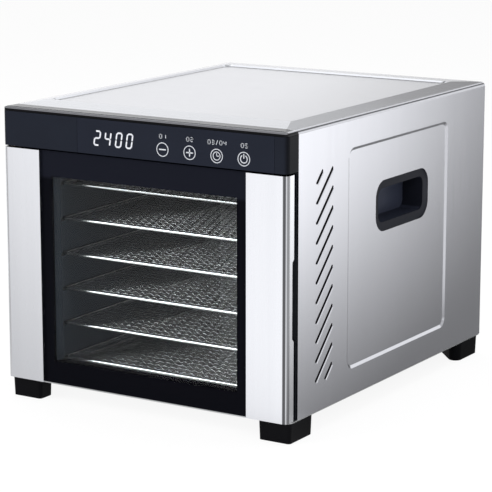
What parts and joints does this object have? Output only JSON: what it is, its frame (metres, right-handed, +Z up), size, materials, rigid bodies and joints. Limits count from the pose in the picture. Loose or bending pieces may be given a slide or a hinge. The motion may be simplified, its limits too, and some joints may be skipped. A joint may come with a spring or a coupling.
{
  "type": "food dehydrator",
  "caption": "Steel cabinet food dehydrator with a side-hinged glass door, sliding mesh trays, a drip tray, a rear fan and heater, and a touch control fascia.",
  "frame": {"origin": "centre of the overall footprint, on the surface that the feet stand on", "axes": "+X to the right seen from the front, +Y from the door to the back, +Z up"},
  "size_m": [0.342, 0.43, 0.313],
  "materials": {
    "brushed_steel": "fine vertical brushing, clear-coated",
    "inner_steel": "plain mill finish",
    "dark_steel": "satin black enamel",
    "black_plastic": "fine moulded grain",
    "gloss_panel": "polished, blue-black",
    "clear_glass": "clear tempered",
    "black_silicone": "matte",
    "stainless_wire": "electropolished",
    "circuit_board": "solder-masked",
    "copper_winding": "varnished",
    "bright_aluminium": "pressed, satin"
  },
  "bodies": {
    "cabinet": {"outer_wrap": "brushed_steel", "base_pan": "inner_steel", "back_panel": "inner_steel", "front_frame": "dark_steel", "control_fascia": "black_plastic", "touch_panel": "gloss_panel", "display_module": "gloss_panel", "control_board": "circuit_board", "handle_left": "black_plastic", "handle_right": "black_plastic", "foot_front_left": "black_plastic", "foot_front_right": "black_plastic", "foot_rear_left": "black_plastic", "foot_rear_right": "black_plastic", "foot_screws": "stainless_wire", "chamber_side_left": "dark_steel", "chamber_side_right": "dark_steel", "chamber_floor": "inner_steel", "chamber_top": "dark_steel", "chamber_back": "inner_steel", "chamber_supports": "inner_steel", "tray_rack_left": "black_plastic", "tray_rack_right": "black_plastic", "fan_guard": "inner_steel", "guard_spacers": "inner_steel", "guard_screws": "stainless_wire", "heater_ring": "dark_steel", "heater_clips": "inner_steel", "thermal_cutout": "black_plastic", "temperature_probe": "inner_steel", "motor_stator": "dark_steel", "motor_coil": "copper_winding", "motor_brackets": "inner_steel", "motor_bearings": "copper_winding", "power_board": "circuit_board", "board_standoffs": "stainless_wire", "cord_gland": "black_plastic", "back_screws": "stainless_wire", "hinge_bracket": "dark_steel", "hinge_pins": "stainless_wire", "magnetic_catches": "dark_steel"},
    "door": {"door_frame": "black_plastic", "door_glass": "clear_glass", "door_strip_left": "brushed_steel", "door_strip_right": "brushed_steel", "door_inner_trim": "black_plastic", "door_seal": "black_silicone", "door_bushes": "copper_winding", "strike_plates": "inner_steel"},
    "fan": {"fan_blades": "bright_aluminium", "fan_shaft": "stainless_wire", "fan_nut": "inner_steel", "motor_rotor": "dark_steel"},
    "shelf_1": {"tray_1": "stainless_wire"},
    "shelf_2": {"tray_2": "stainless_wire"},
    "shelf_3": {"tray_3": "stainless_wire"},
    "shelf_4": {"tray_4": "stainless_wire"},
    "shelf_5": {"tray_5": "stainless_wire"},
    "shelf_6": {"tray_6": "stainless_wire"},
    "drip_pan": {"drip_tray": "stainless_wire"}
  },
  "joints": [
    {"name": "door_hinge", "type": "hinge", "parent": "cabinet", "child": "door", "pos_m": [-0.163, -0.205, 0.14475], "axis": [0, 0, -1], "range_deg": [0, 115]},
    {"name": "fan_spin", "type": "hinge", "parent": "cabinet", "child": "fan", "pos_m": [0, 0.1385, 0.1475], "axis": [0, 1, 0], "continuous": true},
    {"name": "tray_1_slide", "type": "slide", "parent": "cabinet", "child": "shelf_1", "axis": [0, -1, 0], "range_m": [0, 0.012]},
    {"name": "tray_2_slide", "type": "slide", "parent": "cabinet", "child": "shelf_2", "axis": [0, -1, 0], "range_m": [0, 0.012]},
    {"name": "tray_3_slide", "type": "slide", "parent": "cabinet", "child": "shelf_3", "axis": [0, -1, 0], "range_m": [0, 0.012]},
    {"name": "tray_4_slide", "type": "slide", "parent": "cabinet", "child": "shelf_4", "axis": [0, -1, 0], "range_m": [0, 0.012]},
    {"name": "tray_5_slide", "type": "slide", "parent": "cabinet", "child": "shelf_5", "axis": [0, -1, 0], "range_m": [0, 0.012]},
    {"name": "tray_6_slide", "type": "slide", "parent": "cabinet", "child": "shelf_6", "axis": [0, -1, 0], "range_m": [0, 0.012]},
    {"name": "drip_tray_slide", "type": "slide", "parent": "cabinet", "child": "drip_pan", "axis": [0, -1, 0], "range_m": [0, 0.012]}
  ]
}
